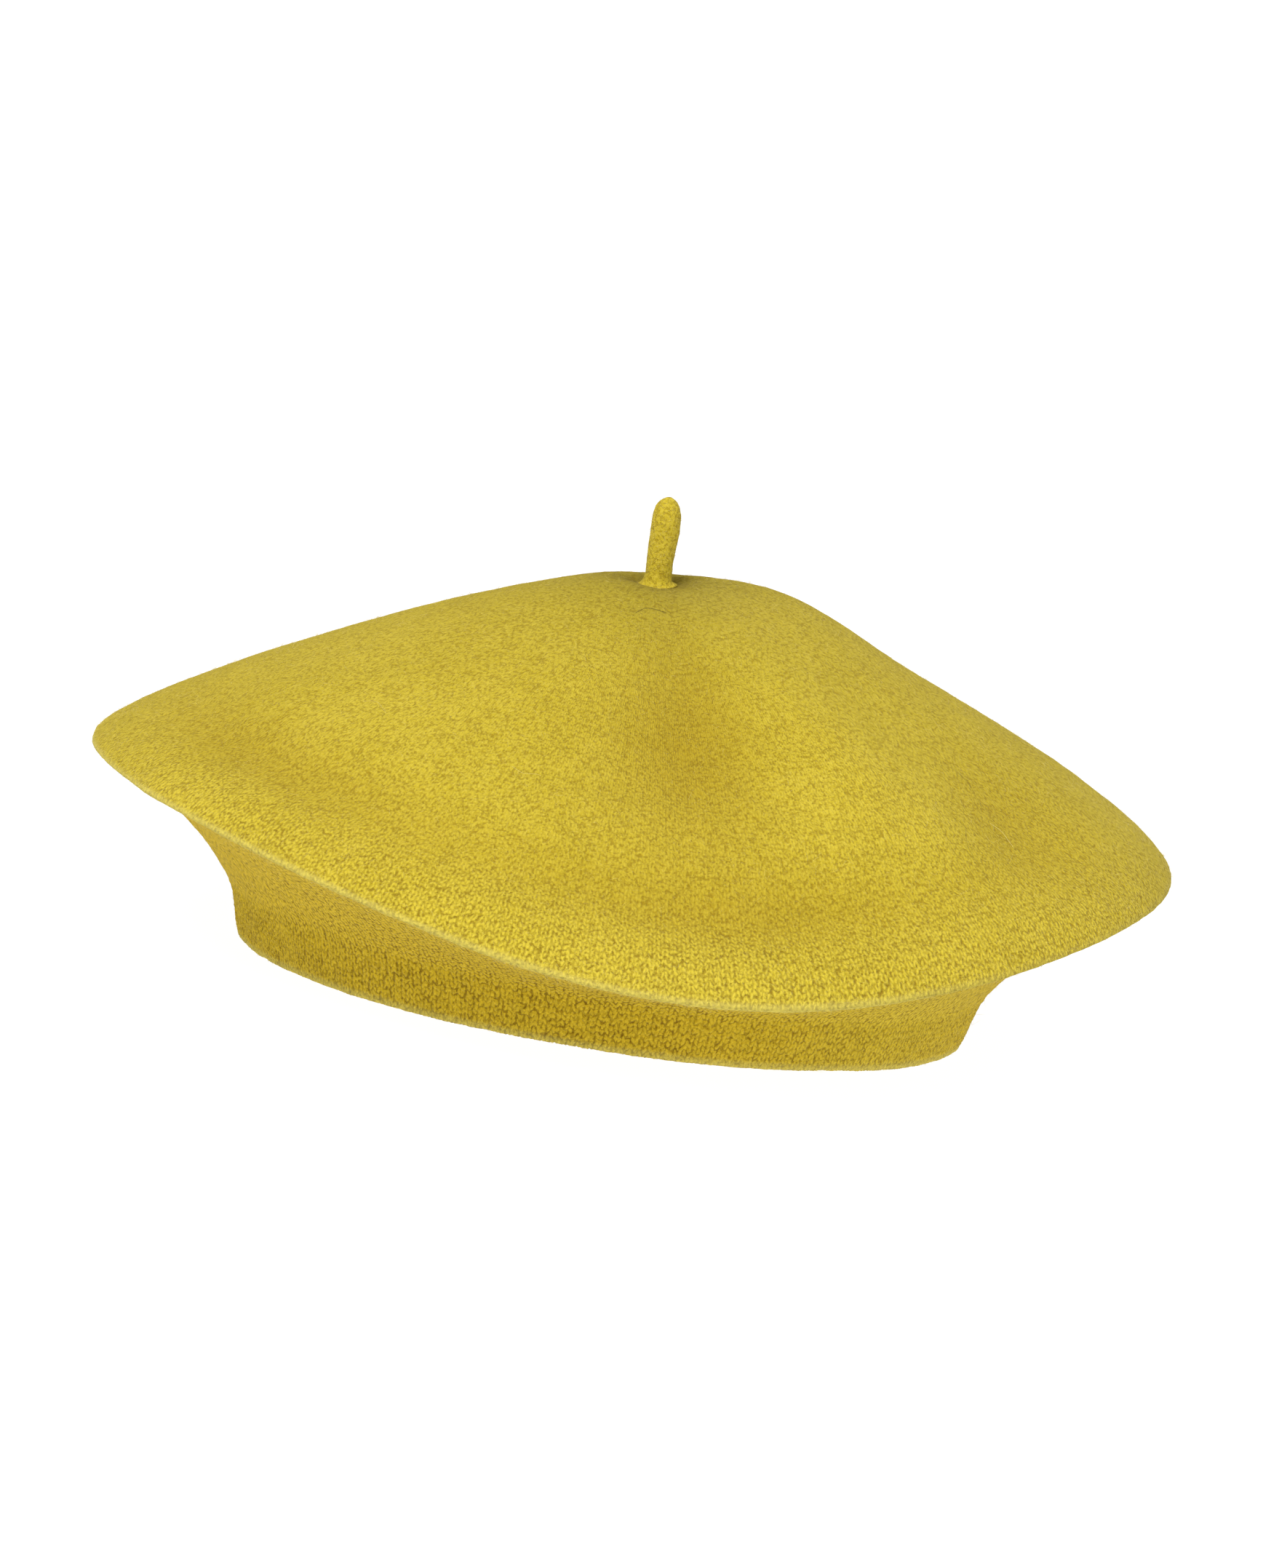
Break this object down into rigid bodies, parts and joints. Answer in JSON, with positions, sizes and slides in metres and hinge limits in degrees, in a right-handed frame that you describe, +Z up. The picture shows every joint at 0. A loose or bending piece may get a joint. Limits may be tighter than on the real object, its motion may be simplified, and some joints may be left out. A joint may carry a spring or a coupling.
{
  "type": "knit beret",
  "caption": "Soft fulled-knit wool beret with a wide drooping crown, a narrow doubled headband and a short felted stalk at its centre.",
  "frame": {"origin": "middle of the headband's opening, on the surface that the hat stands on", "axes": "+Z up out of the crown towards the stalk, -Y towards the viewer, where the crown droops lowest, +X to the viewer's right"},
  "size_m": [0.28, 0.28, 0.1281],
  "materials": {
    "felted_knit": "matte",
    "felted_cord": "matte",
    "thread": "matte",
    "elastic_tape": "matte",
    "woven_label": "satin",
    "label_thread": "matte"
  },
  "bodies": {
    "hat": {"crown_top": "felted_knit", "crown_underside": "felted_knit", "headband": "felted_knit", "hem_elastic": "elastic_tape", "hem_stitches": "thread", "body_seam": "thread", "stalk_root": "felted_cord", "stalk_stitches": "thread"},
    "stalk": {"stalk": "felted_cord"},
    "label": {"care_label": "woven_label", "label_stitches": "label_thread"}
  },
  "joints": [
    {"name": "stalk_flex", "type": "hinge", "parent": "hat", "child": "stalk", "pos_m": [-0.0018, 0, 0.10912], "axis": [0, 1, 0], "range_deg": [-35, 35], "stiffness_Nm_per_rad": 0.0005},
    {"name": "label_flap", "type": "hinge", "parent": "hat", "child": "label", "pos_m": [0, 0.096, 0.0166], "axis": [1, 0, 0], "range_deg": [0, 100]}
  ]
}
